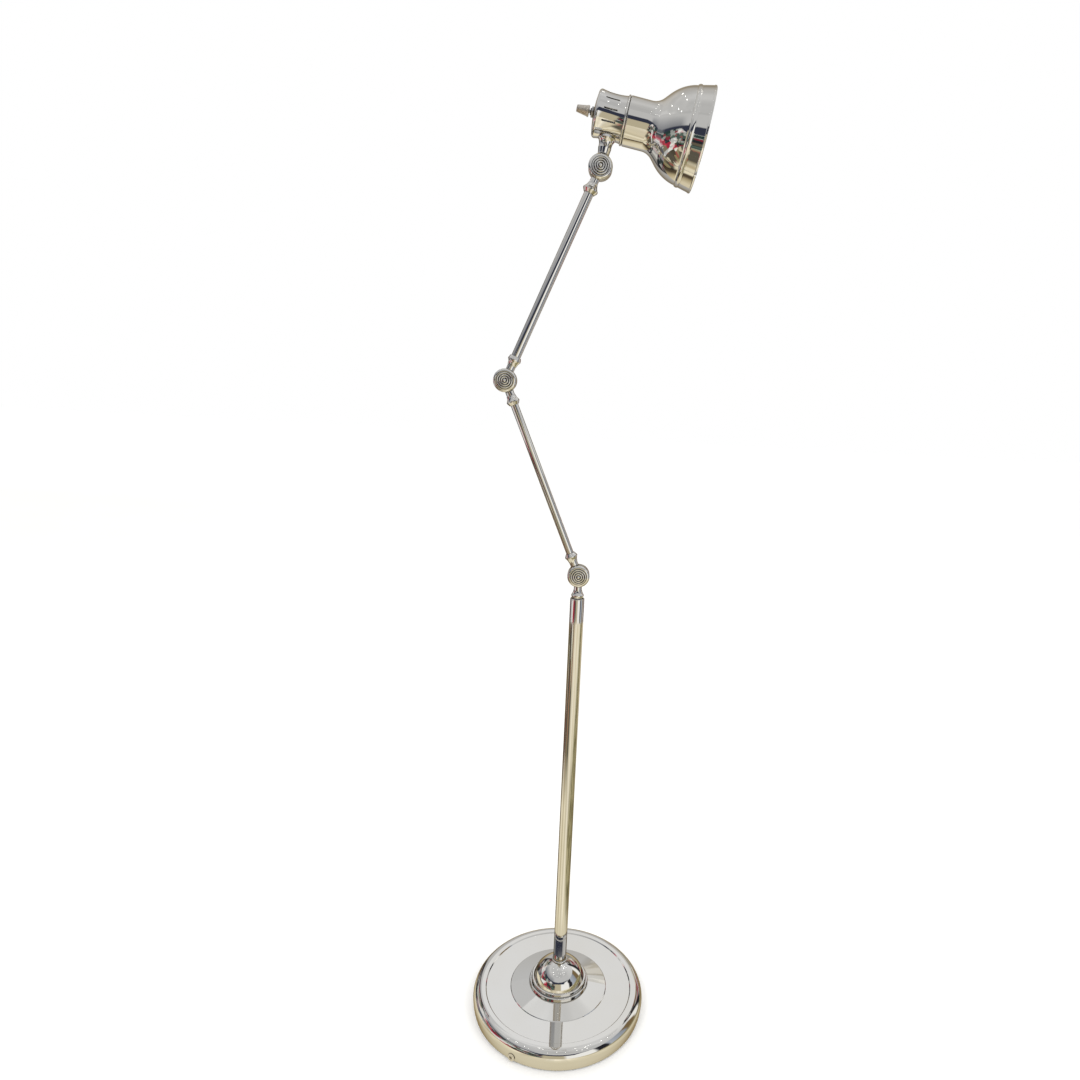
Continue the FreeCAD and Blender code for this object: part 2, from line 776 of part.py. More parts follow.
def head_stem():
    """The head's disc half with a waisted stem whose flared top is saddled to the cup."""
    cup_floor = size.stem_length - size.cup_waist_radius
    body = knuckle_half("head_stem", head, 1, [
        (0, size.neck_start),
        (size.stem_radius, size.neck_start),
        (size.stem_radius, size.disc_radius + 1),
        (size.stem_waist_radius, size.stem_waist_height, size.stem_flare_bow, -1),
        (size.stem_flare_radius, cup_floor),
        (size.stem_flare_radius, cup_floor + size.stem_saddle_depth),
        (0, cup_floor + size.stem_saddle_depth)])
    turn_about_optic(body, [(0, 0)] + cup_side(size.seat_gap) + [(size.cup_length, 0)])
    washer_top = cup_floor + size.stem_washer_rise
    spigot_top = washer_top + size.stem_nut_height + 1
    turn_outline(body, [
        (0, cup_floor - size.stem_saddle_depth),
        (size.neck_spigot_radius, cup_floor - size.stem_saddle_depth),
        (size.neck_spigot_radius, spigot_top),
        (0, spigot_top)])
    stem_screw(body)

    bore = size.neck_spigot_radius + size.running_gap
    washer = turned_piece("stem_washer", head, ring(
        bore, size.stem_washer_radius, cup_floor - 1, washer_top))
    under = cup_side(-size.cup_wall - size.seat_gap)
    turn_about_optic(washer, under + [
        (size.cup_length, -size.stem_length), (0, -size.stem_length)])
    hex_nut("stem_nut", head.shifted(0, washer_top), size.stem_nut_radius,
            size.stem_nut_height, bore)


def stem_screw(stem):
    """A small round-headed screw in the front of the stem, and its hole."""
    hole = new_sketch(stem, "XZ_Plane")
    draw_circle(hole, size.stem_screw_shank + size.running_gap, 0, size.stem_screw_height)
    press_sketch(stem, hole, size.stem_flare_radius, "Pocket", flipped=True)
    face = -size.stem_waist_radius - size.seat_gap * 4
    turned_piece("stem_screw", head.shifted(0, size.stem_screw_height), [
        (0, face + size.stem_screw_depth),
        (size.stem_screw_shank, face + size.stem_screw_depth),
        (size.stem_screw_shank, face),
        (size.stem_screw_radius, face, size.stem_screw_radius * 1.4, -1),
        (0, face - size.stem_screw_radius * 0.7)], "XY_Plane")


def socket_cup():
    """Rear shell: domed back, rounded corner, waisted side, front spigot, and vent slots."""
    hole = size.switch_bushing_radius + size.seat_gap
    wall = size.cup_wall
    corner_radius = size.cup_rear_radius - size.cup_corner
    corner_back = -size.cup_dome / 3
    corner_front = corner_back + size.cup_corner
    waist_bow = size.cup_length * 2.6
    back_bow = size.cup_rear_radius * 4
    spigot = size.cup_front_radius - size.cup_wall / 3
    front = size.cup_length + size.cup_spigot
    body = turned_piece("socket_cup", optic, [
        (hole, -size.cup_dome, back_bow, 1),
        (corner_radius, corner_back, size.cup_corner, 1),
        (size.cup_rear_radius, corner_front, waist_bow, -1),
        (size.cup_front_radius, size.cup_length),
        (spigot, size.cup_length),
        (spigot, front),
        (spigot - wall, front),
        (size.cup_front_radius - wall, size.cup_length, waist_bow + wall, 1),
        (size.cup_rear_radius - wall, corner_front, size.cup_corner - wall, -1),
        (corner_radius, corner_back + wall, back_bow - wall, -1),
        (hole, -size.cup_dome + wall)])

    stem_hole = new_sketch(body, "YZ_Plane")
    draw_circle(stem_hole, size.neck_spigot_radius + size.seat_gap, 0, size.stem_axial)
    press_sketch(body, stem_hole, size.cup_rear_radius * 2, "Pocket", flipped=True)

    span = size.slot_pitch * (size.slot_count - 1)
    slot = new_sketch(body, "XZ_Plane", 0, span / 2 - half_turn)
    half = size.slot_width / 2
    low = size.slot_start + half
    high = size.slot_start + size.slot_length - half
    draw_outline(slot, [
        (half, low), (half, high, half * 1.001, 1), (-half, high), (-half, low, half * 1.001, 1)])
    cut = press_sketch(body, slot, size.cup_rear_radius * 2, "Pocket")
    pattern = body.newObject("PartDesign::PolarPattern", "vent_slots")
    pattern.Originals = [cut]
    upright = [item for item in body.Origin.OriginFeatures if item.Role == "Z_Axis"][0]
    pattern.Axis = (upright, [""])
    pattern.Angle = span.value
    pattern.Occurrences = int(size.slot_count.value)
    bind(pattern, "Angle", span)
    bind(pattern, "Occurrences", size.slot_count)
    body.Tip = pattern

    seat_radius = size.cup_front_radius + size.seat_gap
    low = size.bead_axial - size.bead_round
    high = size.bead_axial + size.bead_round
    turned_piece("cup_bead", optic, [
        (seat_radius, low),
        (size.bead_radius - size.bead_round, low, size.bead_round * 1.001, 1),
        (size.bead_radius - size.bead_round, high),
        (seat_radius, high)])


def shade_skin(inset):
    """The shade's section from the neck to the rim, moved inward by the inset."""
    steep, shallow = size.flare_angle, size.bell_angle
    neck = size.neck_shell_radius
    flare_out = neck + size.flare_bow * (-cosine(steep) + 1)
    flare_end = size.neck_shell_end + size.flare_bow * sine(steep)
    bell_out = flare_out + size.bell_straight * sine(steep)
    bell_start = flare_end + size.bell_straight * cosine(steep)
    edge_out = bell_out + size.bell_bow * (cosine(shallow) - cosine(steep))
    edge = bell_start + size.bell_bow * (sine(steep) - sine(shallow))
    steep_out, steep_on = inset * cosine(steep), inset * sine(steep)
    edge_in_out, edge_in_on = inset * cosine(shallow), inset * sine(shallow)
    bead_start = edge + size.rim_groove
    bead_end = bead_start + size.rim_bead
    rim_end = size.rim_roll_axial
    return [
        (neck - inset, size.neck_shell_end, size.flare_bow + inset, -1),
        (flare_out - steep_out, flare_end + steep_on),
        (bell_out - steep_out, bell_start + steep_on, size.bell_bow - inset, 1),
        (edge_out - edge_in_out, edge + edge_in_on),
        (edge_out - inset, bead_start, size.rim_bead_bow, 1),
        (edge_out + size.rim_bead_rise - inset, bead_end),
        (size.rim_start_radius - inset, bead_end + size.rim_groove),
        (size.rim_end_radius - inset, rim_end),
    ]


def shade():
    outer = shade_skin(nothing)
    inner = shade_skin(size.shade_wall)
    lip = size.cup_front_radius - size.cup_wall / 3 + size.seat_gap
    start = size.neck_shell_start
    neck_in = size.neck_shell_radius - size.shade_wall
    roll_end = size.rim_roll_axial + size.rim_roll
    rear = [
        (lip, start + size.shade_wall),
        (lip, start),
        (size.neck_shell_radius - size.shade_wall, start, size.shade_wall * 1.001, 1),
        (size.neck_shell_radius, start + size.shade_wall)]
    rolled = [
        (size.rim_end_radius + size.rim_roll_rise, size.rim_roll_axial + size.rim_roll_rise),
        (size.rim_end_radius + size.rim_roll_rise, roll_end - size.rim_roll_rise),
        (size.rim_end_radius, roll_end),
        (size.rim_end_radius - size.shade_wall, roll_end)]
    back = []
    for index in range(len(inner) - 1, -1, -1):
        across, up = inner[index][:2]
        bow = inner[index - 1][2:] if index > 0 else ()
        back.append((across, up, bow[0], -bow[1]) if bow else (across, up))
    turned_piece("shade", optic, rear + outer + rolled + back + [
        (neck_in, start + size.shade_wall)])


def light_source():
    """The strap, lampholder and bulb on the shade's axis."""
    strap = new_body("holder_bracket", optic)
    web = size.bracket_web
    under = web - size.bracket_thickness
    span = size.bracket_half_span
    inside = span - size.bracket_thickness
    foot = size.bracket_foot
    sketch = new_sketch(strap, "XZ_Plane")
    draw_outline(sketch, [
        (-span, foot), (-inside, foot), (-inside, under), (inside, under), (inside, foot), (span, foot),
        (span, web), (-span, web)])
    press_sketch(strap, sketch, size.bracket_width, "Pad", both_ways=True)

    bore = size.shell_radius + size.running_gap
    turned_piece("lampholder", optic, [
        (0, web), (size.holder_flange_radius, web),
        (size.holder_flange_radius, size.holder_flange_end),
        (size.holder_radius, size.holder_flange_end), (size.holder_radius, size.holder_end),
        (bore, size.holder_end), (bore, size.holder_floor), (0, size.holder_floor)])
    turned_piece("lampholder_shell", optic, ring(
        size.shell_radius - size.shell_wall, size.shell_radius,
        size.holder_floor, size.holder_end - 1))
    contact_top = size.holder_floor + size.contact_thickness
    turned_piece("lampholder_contact", optic, [
        (0, size.holder_floor), (size.contact_radius, size.holder_floor),
        (size.contact_radius, contact_top), (0, contact_top)])

    cap_start = contact_top + size.bulb_tip
    cap_end = cap_start + size.bulb_cap_length
    turned_piece("bulb_cap", optic, [
        (0, contact_top), (size.contact_radius, contact_top),
        (size.bulb_cap_radius - 2, cap_start + 2), (size.bulb_cap_radius, cap_start + 3),
        (size.bulb_cap_radius, cap_end), (0, cap_end)])
    glass_radius = size.bulb_neck_radius
    shoulder = size.bulb_centre - size.bulb_radius * 0.6
    shoulder_out = size.bulb_radius * 0.8
    wall = size.bulb_wall
    turned_piece("bulb_glass", optic, [
        (glass_radius - wall, cap_end),
        (glass_radius, cap_end, size.bulb_radius * 2, -1),
        (shoulder_out, shoulder, size.bulb_radius, 1),
        (size.bulb_radius, size.bulb_centre, size.bulb_radius, 1),
        (0, size.bulb_centre + size.bulb_radius),
        (0, size.bulb_centre + size.bulb_radius - wall, size.bulb_radius - wall, -1),
        (size.bulb_radius - wall, size.bulb_centre, size.bulb_radius - wall, -1),
        (shoulder_out - wall * 0.8, shoulder + wall * 0.6, size.bulb_radius * 2 + wall, 1)])


def rotary_switch():
    """The switch inside the cup's back, its nut, shaft and tapered knob."""
    shaft_hole = size.shaft_radius + size.running_gap
    deep = size.shaft_inner_end + size.seat_gap
    turned_piece("switch_body", optic, [
        (shaft_hole, size.switch_bushing_end),
        (size.switch_bushing_radius, size.switch_bushing_end),
        (size.switch_bushing_radius, size.switch_rear),
        (size.switch_radius, size.switch_rear),
        (size.switch_radius, size.switch_front),
        (0, size.switch_front),
        (0, deep),
        (shaft_hole, deep)])
    nut_front = -size.switch_nut_seat
    turned_piece("switch_nut", optic, ring(
        size.switch_bushing_radius + size.running_gap, size.switch_nut_radius,
        nut_front - size.switch_nut_thickness, nut_front))
    turned_piece("switch_shaft", optic, [
        (0, size.shaft_outer_end), (size.shaft_radius, size.shaft_outer_end),
        (size.shaft_radius, size.shaft_inner_end), (0, size.shaft_inner_end)])
    skirt = size.knob_front - size.knob_skirt
    turned_piece("switch_knob", optic, [
        (0, size.knob_rear),
        (size.knob_rear_radius - 0.8, size.knob_rear, 0.801, 1),
        (size.knob_rear_radius, size.knob_rear + 0.8),
        (size.knob_radius - 0.5, skirt),
        (size.knob_radius, skirt + 0.5),
        (size.knob_radius, size.knob_front - 0.5),
        (size.knob_radius - 0.5, size.knob_front),
        (shaft_hole, size.knob_front),
        (shaft_hole, size.shaft_outer_end - size.seat_gap),
        (0, size.shaft_outer_end - size.seat_gap)])


# ---- assembly ----

base_pieces()
pole_pieces()
knuckle_half("lower_knuckle_front", lower_pivot.leaned(half_turn), -1, arm_neck())
knuckle_hardware("lower_knuckle", lower_pivot)
arm_pieces("lower_arm", lower_arm, size.lower_arm_length, 1, size.lower_tube_radius,
           size.collar_radius, size.collar_radius)
knuckle_hardware("middle_knuckle", upper_arm)
arm_pieces("upper_arm", upper_arm, size.upper_arm_length, -1, size.upper_tube_radius,
           size.collar_radius, size.top_collar_radius)
knuckle_hardware("head_knuckle", upper_arm.shifted(0, size.upper_arm_length))
head_stem()
socket_cup()
shade()
light_source()
rotary_switch()
doc.recompute()

# ---- checks and export ----

for item in doc.Objects:
    if "Invalid" in item.State or "Error" in item.State:
        raise RuntimeError(f"{item.Label} failed: {item.State}")
for piece in pieces:
    if piece.Shape.isNull() or not piece.Shape.isValid() or not piece.Shape.Solids:
        raise RuntimeError(f"{piece.Label} has no valid solid")

os.makedirs("parts", exist_ok=True)
for piece in pieces:
    piece.Shape.exportStep(f"parts/{piece.Label}.step")
    box = piece.Shape.BoundBox
    print(f"{piece.Label:24s} solids {len(piece.Shape.Solids)} volume {piece.Shape.Volume:10.1f} "
          f"x {box.XMin:7.1f} {box.XMax:7.1f} y {box.YMin:6.1f} {box.YMax:6.1f} "
          f"z {box.ZMin:7.1f} {box.ZMax:7.1f}")
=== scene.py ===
import math

import bpy
from mathutils import Matrix, Vector


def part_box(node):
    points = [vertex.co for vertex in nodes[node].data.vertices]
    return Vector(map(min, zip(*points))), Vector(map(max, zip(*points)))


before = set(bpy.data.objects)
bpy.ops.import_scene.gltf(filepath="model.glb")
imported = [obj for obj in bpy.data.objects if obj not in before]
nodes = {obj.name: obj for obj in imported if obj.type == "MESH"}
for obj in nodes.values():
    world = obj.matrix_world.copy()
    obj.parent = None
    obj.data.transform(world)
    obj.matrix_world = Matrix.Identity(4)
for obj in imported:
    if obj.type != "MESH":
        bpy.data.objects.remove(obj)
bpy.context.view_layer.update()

# How far the head points below level, and its own axis, forward out of the shade.
HEAD_TILT = math.radians(10.25)
OPTIC_AXIS = (math.cos(HEAD_TILT), 0.0, -math.sin(HEAD_TILT))

# A knuckle cap's grooves lie at these distances from its middle, in metres, and their painted
# shade comes from one ramp that ends at CAP_SPAN.
CAP_GROOVES = (0.0026, 0.0053, 0.0080, 0.0107)
CAP_SPAN = 0.012

# The plating's colour, its darker tint at grazing angles, the roughness of its cleanest places
# and of its fine haze, and the heights of its slow waves and its turning marks.
SILVER = (0.86, 0.855, 0.84)
GRAZING_TINT = (0.42, 0.35, 0.25, 1.0)
CLEAN_ROUGHNESS, HAZE_ROUGHNESS = 0.02, 0.015
WAVE_HEIGHT, MARK_HEIGHT = 0.5, 0.16


# ---- camera ----

def add_camera():
    """The photograph's viewpoint: low pitch, a slight turn and roll, and an off-centre crop."""
    place = (0.0, -0.9727, 0.8888)
    pitch, yaw, roll = math.radians(10.89), math.radians(1.457), math.radians(3.099)
    frame_side, focal, centre_column = 1080.0, 749.44, 598.95  # pixels of the photograph
    forward = Vector((math.sin(yaw) * math.cos(pitch), math.cos(yaw) * math.cos(pitch),
                      -math.sin(pitch)))
    level = Vector((math.cos(yaw), -math.sin(yaw), 0.0))
    upright = level.cross(forward)
    right = level * math.cos(roll) + upright * math.sin(roll)
    up = upright * math.cos(roll) - level * math.sin(roll)
    data = bpy.data.cameras.new("camera")
    data.sensor_width = 36.0
    data.lens = focal / frame_side * data.sensor_width
    data.shift_x = (frame_side / 2 - centre_column) / frame_side
    data.clip_start = 0.02
    data.clip_end = 60.0
    camera = bpy.data.objects.new("camera", data)
    turn = Matrix((right, up, -forward)).transposed().to_4x4()
    camera.matrix_world = Matrix.Translation(place) @ turn
    bpy.context.scene.collection.objects.link(camera)
    bpy.context.scene.camera = camera


# ---- node helpers ----

class Nodes:
    """A short hand for building one material's or world's node tree."""

    def __init__(self, owner):
        owner.use_nodes = True
        self.tree = owner.node_tree
        self.tree.nodes.clear()

    def add(self, kind, settings=None, **sockets):
        """A new node. An underscore in a socket's name stands for a space."""
        node = self.tree.nodes.new(kind)
        for name, value in (settings or {}).items():
            setattr(node, name, value)
        for name, value in sockets.items():
            self.plug(node, name.replace("_", " "), value)
        return node

    def plug(self, node, name, value):
        """Link or set an input, found by its name or by its number in digits."""
        socket = node.inputs[int(name)] if name.isdigit() else node.inputs[name]
        if isinstance(value, bpy.types.NodeSocket):
            self.tree.links.new(value, socket)
        else:
            socket.default_value = value

    def math(self, operation, *values, clamp=False):
        node = self.add("ShaderNodeMath", {"operation": operation, "use_clamp": clamp})
        for index, value in enumerate(values):
            self.plug(node, str(index), value)
        return node.outputs[0]

    def vector(self, operation, *values):
        node = self.add("ShaderNodeVectorMath", {"operation": operation})
        for index, value in enumerate(values):
            self.plug(node, str(index), value)
        return node.outputs["Value" if operation in ("LENGTH", "DOT_PRODUCT") else "Vector"]

    def ramp(self, factor, stops, kind="LINEAR"):
        """A colour ramp. A stop is a place from 0 to 1 and its colour."""
        node = self.add("ShaderNodeValToRGB", Fac=factor)
        node.color_ramp.interpolation = kind
        elements = node.color_ramp.elements
        while len(elements) < len(stops):
            elements.new(1.0)
        for element, (place, colour) in zip(elements, stops):
            element.position = place
            element.color = (*colour, 1.0)
        return node.outputs["Color"]

    def grey_ramp(self, factor, stops):
        """A ramp of numbers instead of colours."""
        return self.ramp(factor, [(place, (v, v, v)) for place, v in stops])

    def blend(self, factor, first, second, kind="MIX"):
        """Two colours mixed. The mix node has its colours at inputs 6 and 7 and output 2."""
        node = self.add("ShaderNodeMix", {"data_type": "RGBA", "blend_type": kind})
        self.plug(node, "Factor", factor)
        self.plug(node, "6", first)
        self.plug(node, "7", second)
        return node.outputs[2]

    def object_place(self):
        return self.add("ShaderNodeTexCoord").outputs["Object"]

    def split(self, place):
        return self.add("ShaderNodeSeparateXYZ", Vector=place).outputs

    def noise(self, place, scale, detail=3.0, roughness=0.5, dimensions="3D"):
        node = self.add("ShaderNodeTexNoise", {"noise_dimensions": dimensions},
                        Scale=scale, Detail=detail, Roughness=roughness)
        self.plug(node, "W" if dimensions == "1D" else "Vector", place)
        return node.outputs["Fac"]

    def soft_edge(self, radius=0.0003):
        """A normal that rounds the edges by this radius."""
        return self.add("ShaderNodeBevel", {"samples": 6}, Radius=radius).outputs["Normal"]

    def bump(self, height, strength, distance, **base):
        """A normal bent by a height. base may hold Normal, the normal to start from."""
        node = self.add("ShaderNodeBump", Strength=strength, Distance=distance, Height=height,
                        **base)
        return node.outputs["Normal"]

    def principled(self, **sockets):
        """End the material in a principled shader."""
        self.finish(self.add("ShaderNodeBsdfPrincipled", **sockets).outputs["BSDF"])

    def glow(self, colour):
        """End the material in plain light of a colour."""
        self.finish(self.add("ShaderNodeEmission", Color=colour, Strength=1.0).outputs[0])

    def finish(self, shader, kind="ShaderNodeOutputMaterial"):
        out = self.tree.nodes.new(kind)
        self.tree.links.new(shader, out.inputs["Surface"])


def new_material(name):
    material = bpy.data.materials.new(name)
    return material, Nodes(material)


def node_centre(node):
    low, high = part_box(node)
    return tuple((low + high) / 2)


def reach_from_z(n, place):
    """Distance from the Z axis, the pole's own."""
    return n.vector("LENGTH", n.vector("MULTIPLY", place, (1.0, 1.0, 0.0)))


def reach_along_head(n, place):
    """Distance along the head's axis from the cup's middle."""
    return n.vector("DOT_PRODUCT", n.vector("SUBTRACT", place, node_centre("socket_cup")),
                    OPTIC_AXIS)


# ---- object materials ----

def plated(name, turned=None, cap_centre=None, smudge=0.035, edge=0.0004):
    """Mirror plating: faint smudges in the gloss, a slight waviness, softened edges, painted
    shade that darkens the crevices and a darker tint at grazing angles. turned gives the distance
    along which a spun piece has its turning marks. cap_centre is the middle of a knuckle cap
    whose grooves get painted shade."""
    material, n = new_material(name)
    place = n.object_place()
    cloud = n.noise(place, scale=38.0, detail=4.0, roughness=0.6)
    fine = n.noise(place, scale=420.0, detail=2.0)
    smudges = n.grey_ramp(cloud, [(0.42, 0.0), (0.72, 1.0)])
    rough = n.math("MULTIPLY_ADD", smudges, smudge, CLEAN_ROUGHNESS)
    rough = n.math("MULTIPLY_ADD", fine, HAZE_ROUGHNESS, rough)
    height = n.math("MULTIPLY", n.noise(place, scale=55.0, detail=2.0), WAVE_HEIGHT)
    if turned:
        marks = n.noise(turned(n, place), scale=900.0, roughness=0.7, dimensions="1D")
        height = n.math("MULTIPLY_ADD", marks, MARK_HEIGHT, height)
    warm = tuple(c * part for c, part in zip(SILVER, (0.975, 0.965, 0.94)))
    tint = n.ramp(n.noise(place, scale=14.0, detail=2.0), [(0.3, SILVER), (0.75, warm)])
    # Painted shade: ambient occlusion darkens the colour in crevices and where pieces meet.
    crevice = n.add("ShaderNodeAmbientOcclusion", {"samples": 8}, Distance=0.003).outputs["AO"]
    crevice_shade = n.grey_ramp(crevice, [(0.35, 0.1), (0.8, 1.0)])
    tint = n.blend(1.0, tint, crevice_shade, "MULTIPLY")
    # Painted shade in the grooves of a knuckle cap.
    if cap_centre:
        tint = n.blend(1.0, tint, cap_tarnish(n, place, cap_centre), "MULTIPLY")
    n.principled(Metallic=1.0, Base_Color=tint, Roughness=rough, Specular_Tint=GRAZING_TINT,
                 Normal=n.bump(height, strength=0.035, distance=0.0006,
                               Normal=n.soft_edge(edge)))
    return material


def cap_tarnish(n, place, centre):
    """Painted shade: white over a knuckle cap, and nearly black in its grooves."""
    clear, groove_shade = 1.0, 0.12
    stops = [(0.0, clear)]
    for groove in CAP_GROOVES:
        for offset, tone in ((-0.0008, clear), (-0.0003, groove_shade), (0.0003, groove_shade),
                             (0.0008, clear)):
            stops.append(((groove + offset) / CAP_SPAN, tone))
    flat = n.vector("MULTIPLY", n.vector("SUBTRACT", place, centre), (1.0, 0.0, 1.0))
    reach = n.math("MULTIPLY", n.vector("LENGTH", flat), 1.0 / CAP_SPAN)
    return n.grey_ramp(reach, stops)


def satin_metal(name, colour, roughness, grain_scale=700.0):
    """Zinc, brass or cast metal with a fine grain and darker patches."""
    material, n = new_material(name)
    place = n.object_place()
    grit = n.noise(place, grain_scale, roughness=0.6)
    patch = n.noise(place, scale=90.0, roughness=0.55)
    dark = tuple(c * 0.72 for c in colour)
    n.principled(Metallic=1.0, Base_Color=n.ramp(patch, [(0.35, dark), (0.65, colour)]),
                 Roughness=n.math("MULTIPLY_ADD", grit, 0.18, roughness),
                 Normal=n.bump(grit, strength=0.25, distance=0.0001, Normal=n.soft_edge()))
    return material


def moulded(name, colour, roughness, coat=0.0, strength=0.15):
    """A non-metal moulding: fine texture, faint mottling and a little dust in the gloss."""
    material, n = new_material(name)
    place = n.object_place()
    mottle = n.noise(place, scale=160.0, roughness=0.6)
    grit = n.noise(place, scale=1500.0, detail=2.0)
    dark = tuple(c * 0.86 for c in colour)
    n.principled(Base_Color=n.ramp(mottle, [(0.3, dark), (0.7, colour)]),
                 Roughness=n.math("MULTIPLY_ADD", grit, 0.12, roughness),
                 Coat_Weight=coat, Coat_Roughness=0.08,
                 Normal=n.bump(grit, strength, distance=0.0001, Normal=n.soft_edge()))
    return material


def felt_material():
    """Pressed felt: fine fibres over darker and paler clumps."""
    material, n = new_material("felt")
    place = n.object_place()
    fibres = n.noise(place, scale=1300.0, detail=5.0, roughness=0.75)
    clumps = n.noise(place, scale=240.0, roughness=0.6)
    height = n.math("MULTIPLY_ADD", clumps, 0.6, fibres)
    tint = n.ramp(height, [(0.5, (0.018, 0.018, 0.02)), (0.6875, (0.07, 0.07, 0.078))])
    n.principled(Base_Color=tint, Roughness=0.95, Sheen_Weight=0.35, Sheen_Roughness=0.5,
                 Normal=n.bump(height, strength=0.9, distance=0.0005))
    return material


def bulb_material():
    """Soft white glass: a milky body under a clear gloss."""
    material, n = new_material("bulb_glass")
    place = n.object_place()
    cloud = n.noise(place, scale=60.0)
    tint = n.ramp(cloud, [(0.35, (0.88, 0.875, 0.86)), (0.7, (0.93, 0.93, 0.92))])
    ripple = n.noise(place, scale=120.0, detail=1.0)
    n.principled(Base_Color=tint, Roughness=0.12, Subsurface_Weight=0.35,
                 Subsurface_Scale=0.004, Subsurface_Radius=(1.0, 0.9, 0.8), Coat_Weight=0.5,
                 Coat_Roughness=0.03, Normal=n.bump(ripple, strength=0.04, distance=0.0005))
    return material


def dress_nodes():
    """Give every carried-over node its material. Those that aren't named are plain plating."""
    plain = plated("plating")
    turned_base = plated("plating_turned_base", reach_from_z, smudge=0.03)
    turned_head = plated("plating_turned_head", reach_along_head, smudge=0.03)
    tube = plated("plating_tube", smudge=0.04, edge=0.0003)
    steel = satin_metal("zinc_steel", (0.56, 0.56, 0.57), 0.28)
    nylon = moulded("nylon", (0.72, 0.71, 0.67), 0.35)
    looks = {
        "felt_pad": felt_material(),
        "base_weight": satin_metal("cast_iron", (0.05, 0.05, 0.052), 0.6, grain_scale=400.0),
        "cord_bushing": moulded("bushing", (0.60, 0.53, 0.38), 0.42),
        "lampholder": moulded("porcelain", (0.84, 0.83, 0.79), 0.22, coat=0.6, strength=0.05),
        "lampholder_shell": satin_metal("brass_shell", (0.72, 0.55, 0.27), 0.2),
        "lampholder_contact": satin_metal("brass_contact", (0.72, 0.55, 0.27), 0.25),
        "bulb_cap": satin_metal("cap_metal", (0.70, 0.70, 0.70), 0.22),
        "bulb_glass": bulb_material(),
        "switch_body": moulded("switch_black", (0.03, 0.03, 0.032), 0.4),
        "switch_knob": satin_metal("warm_nickel", (0.80, 0.74, 0.66), 0.3),
    }
    for knuckle in ("lower_knuckle", "middle_knuckle", "head_knuckle"):
        cap = knuckle + "_cap"
        looks[cap] = plated("plating_" + cap, cap_centre=node_centre(cap))
        looks[knuckle + "_bolt"] = steel
        looks[knuckle + "_washer"] = nylon
    for name in ("base_cover", "base_hub", "pole_ring"):
        looks[name] = turned_base
    for name in ("socket_cup", "cup_bead", "shade"):
        looks[name] = turned_head
    for name in ("pole", "lower_arm_tube", "upper_arm_tube"):
        looks[name] = tube
    for name in ("centre_nipple", "base_washer", "base_nut", "foot_plug", "holder_bracket",
                 "switch_nut", "switch_shaft", "stem_washer", "stem_nut", "stem_screw"):
        looks[name] = steel
    for name, obj in nodes.items():
        material = looks.get(name, plain)
        if not obj.material_slots:
            obj.data.materials.append(material)
        for slot in obj.material_slots:
            slot.material = material


# ---- stage and light ----

def stage_mesh(name, verts, faces):
    mesh = bpy.data.meshes.new(name)
    mesh.from_pydata(verts, [], faces)
    obj = bpy.data.objects.new(name, mesh)
    bpy.context.scene.collection.objects.link(obj)
    return obj


def level_square(name, side, height):
    half = side / 2
    return stage_mesh(name, [(-half, -half, height), (half, -half, height),
                             (half, half, height), (-half, half, height)], [(0, 1, 2, 3)])


def round_wall(name, radius, height):
    """An open drum of flat panels that stands on the floor."""
    panels = 96
    verts, faces = [], []
    for panel in range(panels):
        angle = 2 * math.pi * panel / panels
        across, along = radius * math.cos(angle), radius * math.sin(angle)
        verts += [(across, along, 0.0), (across, along, height)]
        here, after = 2 * panel, 2 * ((panel + 1) % panels)
        faces.append((here, here + 1, after + 1, after))
    return stage_mesh(name, verts, faces)


def seen_rays(n):
    """1 where the camera, a mirror or clear glass looks, and 0 for the light on other things."""
    rays = n.add("ShaderNodeLightPath").outputs
    seen = n.math("MAXIMUM", rays["Is Camera Ray"], rays["Is Glossy Ray"])
    return n.math("MAXIMUM", seen, rays["Is Transmission Ray"])


def add_floor():
    """A pale floor that keeps the lamp's shadow and is lifted to the backdrop's white."""
    floor = level_square("floor", 30.0, -0.001)
    material, n = new_material("floor")
    faint = n.noise(n.object_place(), scale=3.0)
    tint = n.ramp(faint, [(0.3, (0.93, 0.93, 0.925)), (0.7, (0.95, 0.95, 0.945))])
    shader = n.add("ShaderNodeBsdfPrincipled", Base_Color=tint, Roughness=0.9)
    n.plug(shader, "Specular IOR Level", 0.1)
    lift = n.add("ShaderNodeEmission", Color=(1.0, 1.0, 0.995, 1.0),
                 Strength=n.math("MULTIPLY", seen_rays(n), 0.13))
    both = n.add("ShaderNodeAddShader")
    n.plug(both, "0", shader.outputs[0])
    n.plug(both, "1", lift.outputs[0])
    n.finish(both.outputs[0])
    floor.data.materials.append(material)


def add_world():
    """A little less than white as light, and white where it is seen."""
    world = bpy.data.worlds.new("studio")
    bpy.context.scene.world = world
    n = Nodes(world)
    light = n.add("ShaderNodeBackground", Color=(1.0, 0.995, 0.985, 1.0), Strength=0.95)
    backdrop = n.add("ShaderNodeBackground", Color=(1.0, 1.0, 1.0, 1.0), Strength=1.0)
    mix = n.add("ShaderNodeMixShader", Fac=seen_rays(n))
    n.plug(mix, "1", light.outputs[0])
    n.plug(mix, "2", backdrop.outputs[0])
    n.finish(mix.outputs[0], "ShaderNodeOutputWorld")


def add_lamp(name, place, power):
    """A soft disc of light, hidden from mirrors, aimed just over the pole's top."""
    target = (0.0, 0.0, 0.7)
    data = bpy.data.lights.new(name, "AREA")
    data.shape = "DISK"
    data.size = 0.35
    data.energy = power
    lamp = bpy.data.objects.new(name, data)
    lamp.location = place
    aim = Vector(target) - Vector(place)
    lamp.rotation_euler = aim.to_track_quat("-Z", "Y").to_euler()
    lamp.visible_glossy = False
    bpy.context.scene.collection.objects.link(lamp)


# ---- cards that only the plating mirrors ----

